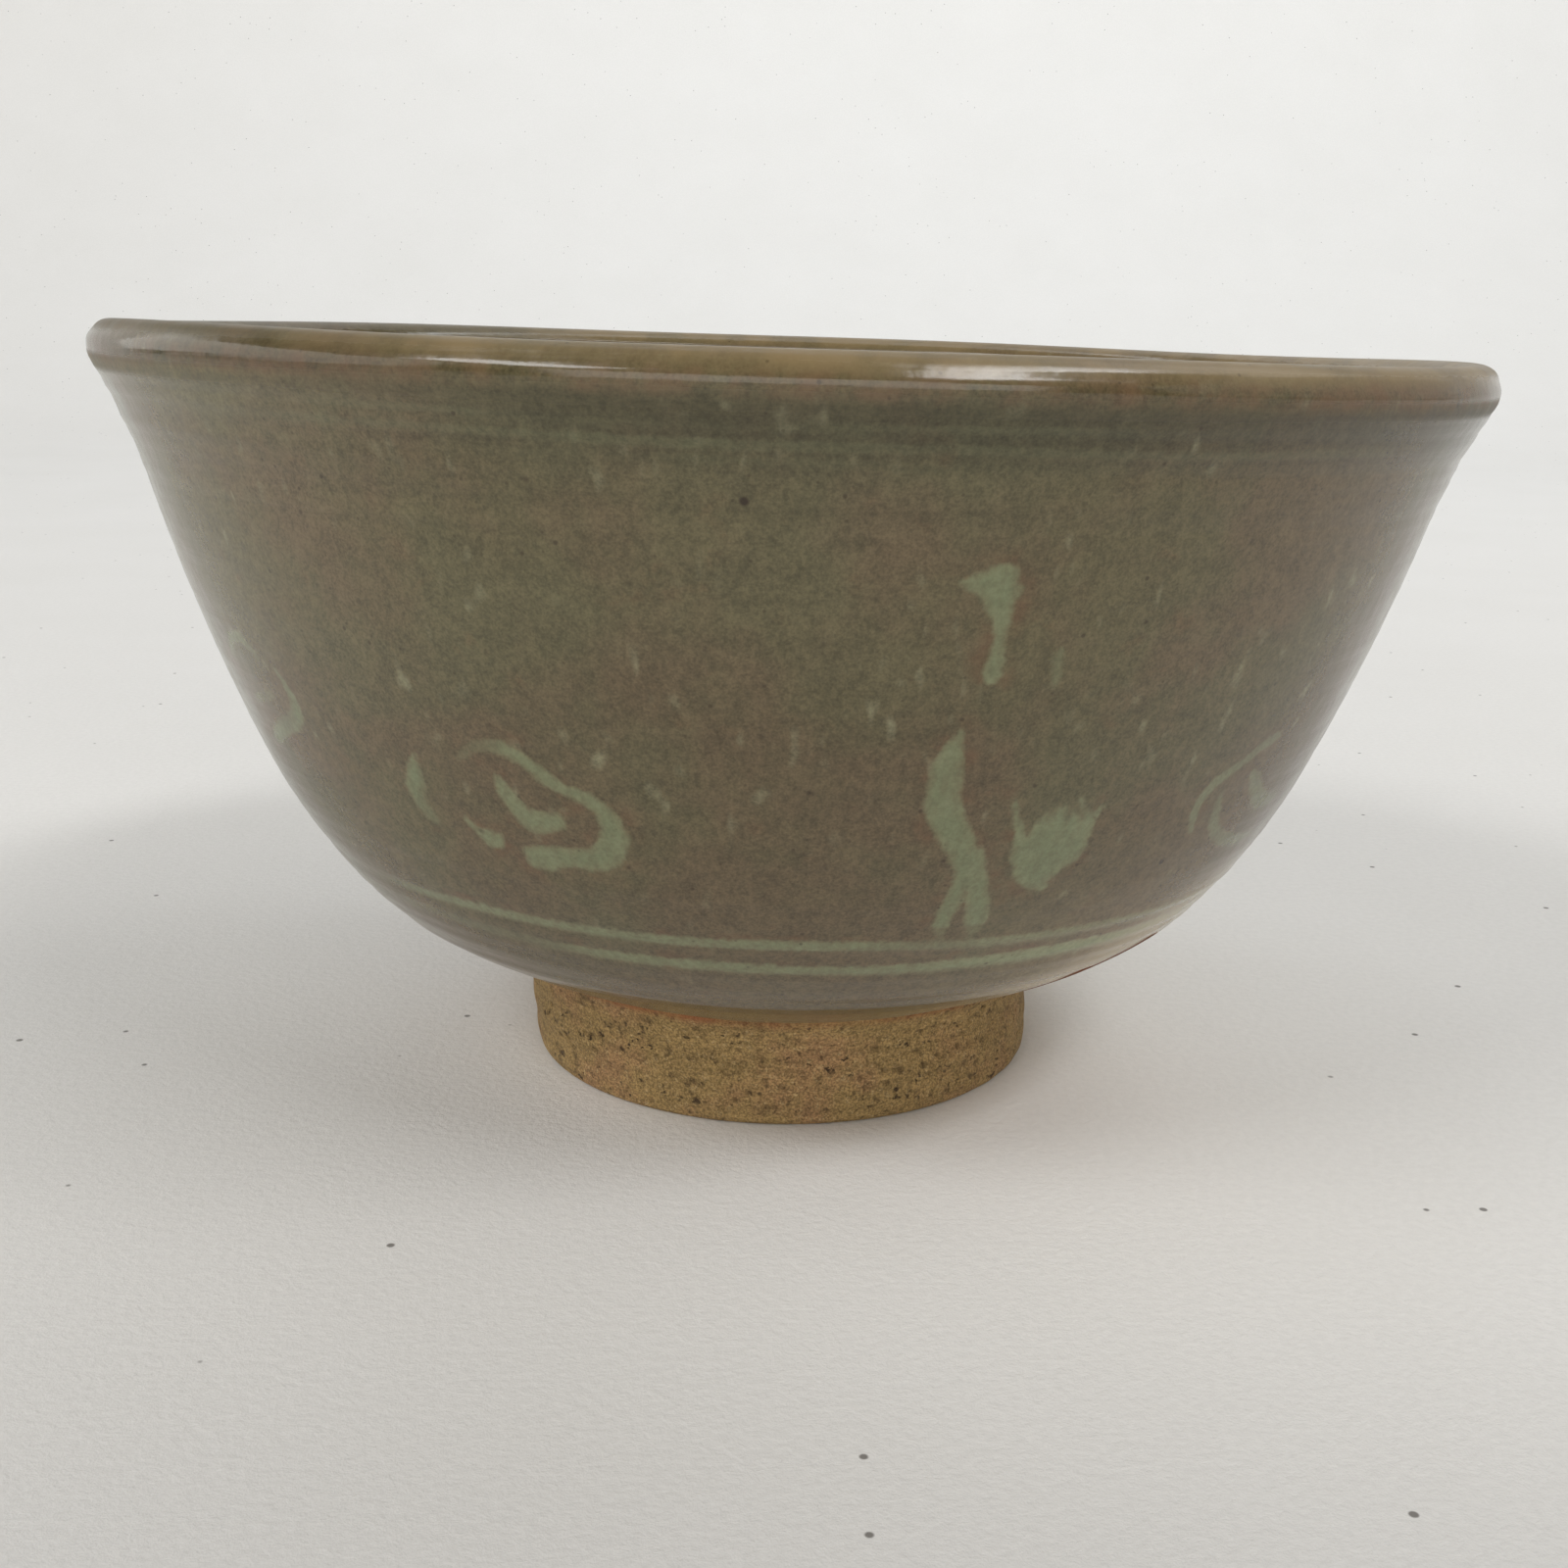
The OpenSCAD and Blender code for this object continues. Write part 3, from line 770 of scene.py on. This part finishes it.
def below_bowl(rows):
    """The part of a foot line that is under the bowl, as a section line."""
    s = np.concatenate([[0], np.cumsum(np.hypot(np.diff(rows[:, 0]), np.diff(rows[:, 1])))])
    fine = np.linspace(0, s[-1], 4000)
    table = np.stack([np.interp(fine, s, rows[:, k]) for k in range(4)], 1)
    limit = np.interp(-table[:, 0], -under_x, under_z)
    return Section(table[table[:, 1] <= limit])


foot_out, foot_in = below_bowl(foot_outside), below_bowl(foot_inside)
ring_azimuth = columns_round(100, 0.5, 0.8)
columns = len(ring_azimuth)
spread = 0 * ring_azimuth[None, :]
side_s = np.linspace(foot_out.length, 0, 52)[:, None] + spread
in_side = np.linspace(0, foot_in.length, 22)[:, None] + spread
side_z = foot_out.at(side_s)[1]
arc_mm = ring_azimuth[None, :] * FOOT_R

pit_depth = np.zeros(side_s.shape)
full_turn = 2 * math.pi * FOOT_R
clusters = np.stack([rng.uniform(0, full_turn, 26), rng.uniform(2.5, 8, 26)], 1)
for k in range(260):
    at, up = clusters[k % len(clusters)] + rng.normal(0, 1, 2) * (2.6, 1.3)
    if k % 3 == 0:
        at, up = rng.uniform(0, full_turn), rng.uniform(0.8, foot_out.length - 0.7)
    wide, tall = rng.uniform(0.22, 0.6), rng.uniform(0.18, 0.34)
    deep = rng.uniform(0.1, 0.32)
    across = (arc_mm - at + full_turn / 2) % full_turn - full_turn / 2
    gap = np.sqrt((across / wide) ** 2 + ((side_s - up) / tall) ** 2)
    pit_depth = np.maximum(pit_depth, deep * smooth(gap, 1.15, 0.35))
ridges = waves(5, 9, 40, 0.05)
side_shape = (0.1 * np.sin(2 * math.pi * side_z / 3.1 + 1.2 + 0.5 * np.sin(ring_azimuth)[None, :])
              + wavy(ridges, ring_azimuth[None, :], side_z, 3))
ends = smooth(side_s, 0, 0.9) * smooth(side_s, foot_out.length, foot_out.length - 0.8)
side_r, side_h = foot_out.at(side_s, (pit_depth + 0.5 * side_shape) * ends)
inner_r, inner_h = foot_in.at(in_side)
gap_r = np.linspace(0, 1, 8)[1:-1, None] + spread
top_r = inner_r[-1:] + (side_r[:1] - inner_r[-1:]) * gap_r
top_h = np.interp(-top_r, -under_x, under_z)
ring = lathe("foot_ring_clay", ring_azimuth,
             np.concatenate([side_r, inner_r, top_r]), np.concatenate([side_h, inner_h, top_h]),
             None, ["foot_ring"], ring_clay)
blank = np.zeros((len(in_side) + len(gap_r), columns))
flush = smooth(side_s, foot_out.length - 1.5, foot_out.length - 0.1)
flush = np.clip(flush * (0.75 + wavy(waves(5, 3, 14, 0.35), ring_azimuth)[None, :]), 0, 1)
set_values(ring, "flush", np.concatenate([flush, blank]).reshape(-1))
set_values(ring, "pit", np.concatenate([pit_depth / 0.36, blank]).reshape(-1))


# ---- Slip under the glaze, from the CAD shapes ----

def follow(node, name, material):
    """A CAD node's own shape, moved as the bowl is."""
    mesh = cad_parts[node].data
    faces = [tuple(p.vertices) for p in mesh.polygons]
    return add_mesh(name, shaped(node_points(node)), faces, [node], material)


for node in sorted(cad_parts):
    if node.startswith(("cloud_", "crane_", "rim_line_", "base_line_")):
        follow(node, node + "_slip", white_slip)
follow("foot_joint", "foot_joint_slip", joint_slip)


# ---- Floor, light and camera ----

def paper_sweep():
    """A floor that curves up into a backdrop."""
    m = Shader("paper")
    colour = m.mix(m.noise(60, 3, 0.6), srgb(226, 224, 220), srgb(232, 230, 227))
    fibre = m.noise(0.9, 3, 0.7)
    colour = m.brightness(colour, m.span(fibre, 0.3, 0.7, 0.975, 1.02))
    distance, chance = m.spots(2.5, m.stretched(1, 1, 1, 4))
    speck = m.times(m.span(distance, 0.17, 0.1), m.span(chance, 0.965, 0.967))
    colour = m.mix(m.times(speck, 0.8), colour, srgb(84, 78, 70))
    # Painted shade: the floor darker towards the camera
    colour = m.brightness(colour, m.span(m.y, -50, -100, 1, 0.84))
    material = m.finish(colour, 0.75, m.times(fibre, 0.12))
    bend, far, high, half = 0.5, 0.85, 1.6, 2.0
    line = [(-1.6, 0.0), (far, 0.0)]
    line += [(far + bend * math.sin(a), bend * (1 - math.cos(a)))
             for a in np.radians(np.linspace(5, 90, 18))]
    line.append((far + bend, high))
    points = [(x, y, z) for y, z in line for x in (-half, half)]
    faces = [(2 * k, 2 * k + 1, 2 * k + 3, 2 * k + 2) for k in range(len(line) - 1)]
    mesh = bpy.data.meshes.new("sweep")
    mesh.from_pydata(points, [], faces)
    mesh.polygons.foreach_set("use_smooth", [True] * len(faces))
    mesh.materials.append(material)
    sweep = bpy.data.objects.new("sweep", mesh)
    bpy.context.scene.collection.objects.link(sweep)


def area_light(name, place, target, width, height, power, colour=(1, 1, 1)):
    data = bpy.data.lights.new(name, "AREA")
    data.shape, data.size, data.size_y = "RECTANGLE", width, height
    data.energy, data.color = power, colour
    light = bpy.data.objects.new(name, data)
    light.location = place
    light.rotation_euler = (Vector(target) - Vector(place)).to_track_quat("-Z", "Y").to_euler()
    bpy.context.scene.collection.objects.link(light)


paper_sweep()

# Each light: name, place, target, width and height in metres, power in watts, colour
WARM = (1.0, 0.975, 0.93)
COOL = (0.88, 0.94, 1.0)
area_light("room_front", (0, -1.6, 0.5), (0, 0, 0.05), 2.4, 0.9, 14.5, WARM)
area_light("room_left", (-1.7, 0.1, 0.6), (0, 0.1, 0.2), 2.4, 1.1, 12.2, WARM)
area_light("room_right", (1.7, 0.1, 0.6), (0, 0.1, 0.2), 2.4, 1.1, 3.9, WARM)
area_light("ceiling_right", (0.95, 0.2, 1.2), (0, 0.1, 0), 0.9, 0.9, 3.6, WARM)
area_light("window_right", (0.68, -0.58, 1.12), (0, 0, 0.05), 0.75, 0.22, 5.9)
area_light("window_left", (-0.777, -0.629, 1.0), (0, 0, 0.05), 0.62, 0.32, 5.0)
area_light("backdrop_light", (0.2, 0.5, 1.25), (0.25, 1.4, 0.45), 1.6, 0.4, 9.5, COOL)

world = bpy.data.worlds.new("room")
bpy.context.scene.world = world
world.use_nodes = True
world.node_tree.nodes["Background"].inputs[0].default_value = (1, 1, 1, 1)
world.node_tree.nodes["Background"].inputs[1].default_value = 0.01

bpy.context.scene.view_settings.view_transform = "Standard"

# The camera's place is in rim radii, and its angles are in degrees
CAMERA_PLACE = (-0.0009, -2.8336, 1.1263)
CAMERA_DOWN = 14.14
CAMERA_ROLL = 0.88

camera = bpy.data.cameras.new("camera")
camera.sensor_width, camera.lens = 36, 41.81
camera.clip_start = 0.01
viewer = bpy.data.objects.new("camera", camera)
tilt = Matrix.Rotation(math.radians(90 - CAMERA_DOWN), 4, "X")
roll = Matrix.Rotation(math.radians(CAMERA_ROLL), 4, "Z")
place = [along * RIM_R / MM for along in CAMERA_PLACE]
viewer.matrix_world = Matrix.Translation(place) @ tilt @ roll
bpy.context.scene.collection.objects.link(viewer)
bpy.context.scene.camera = viewer
